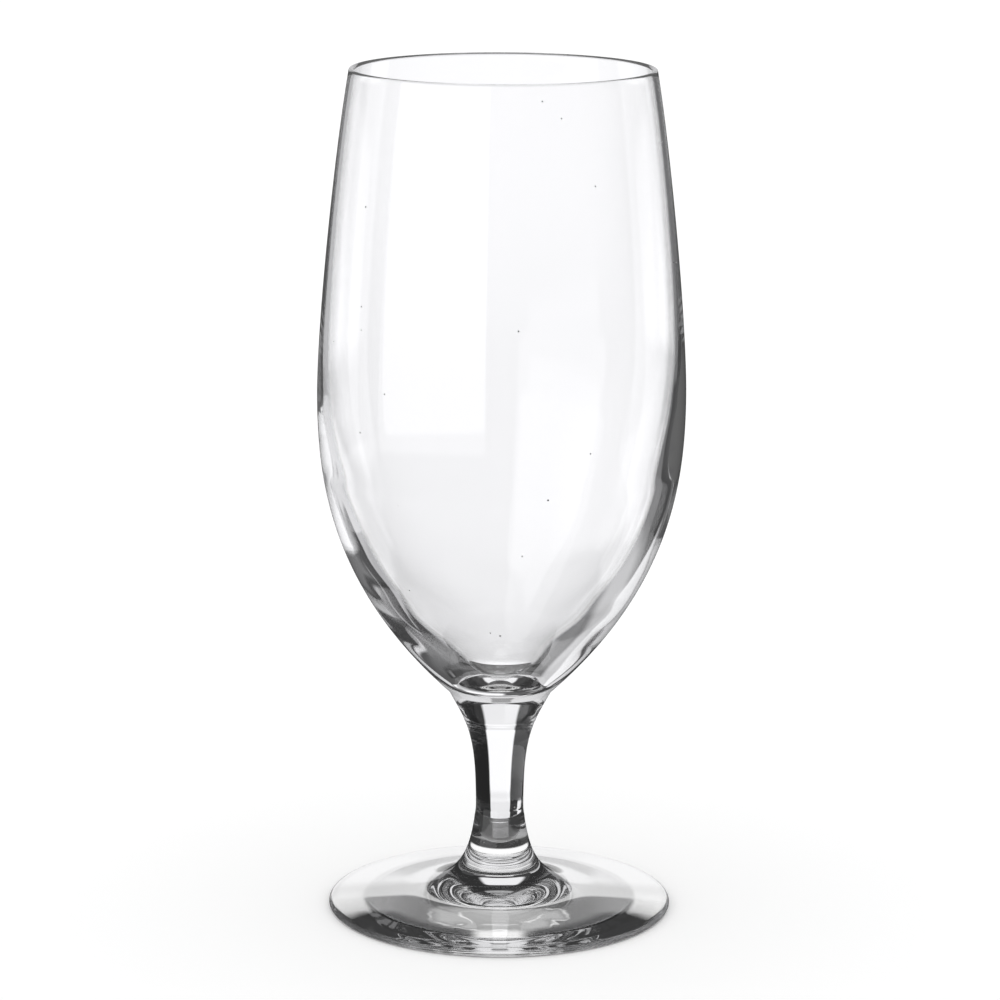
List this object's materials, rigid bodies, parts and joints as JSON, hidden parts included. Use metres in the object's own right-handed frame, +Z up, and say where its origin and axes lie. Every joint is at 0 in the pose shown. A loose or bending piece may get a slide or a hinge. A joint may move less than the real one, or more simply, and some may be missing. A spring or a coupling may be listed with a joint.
{
  "type": "iced tea glass",
  "caption": "Tall stemmed drinking glass in clear glass: tulip bowl with a heavy lower wall on a short waisted stem and a round foot, for iced tea and other cold drinks.",
  "frame": {"origin": "centre of the flat ring under the foot that the glass stands on", "axes": "+Z up along the axis of the glass, from the foot to the rim"},
  "size_m": [0.079, 0.079, 0.184],
  "materials": {
    "clear_glass": "clear, fire polished"
  },
  "bodies": {
    "root": {"bowl": "clear_glass", "stem": "clear_glass", "foot": "clear_glass"}
  },
  "joints": []
}
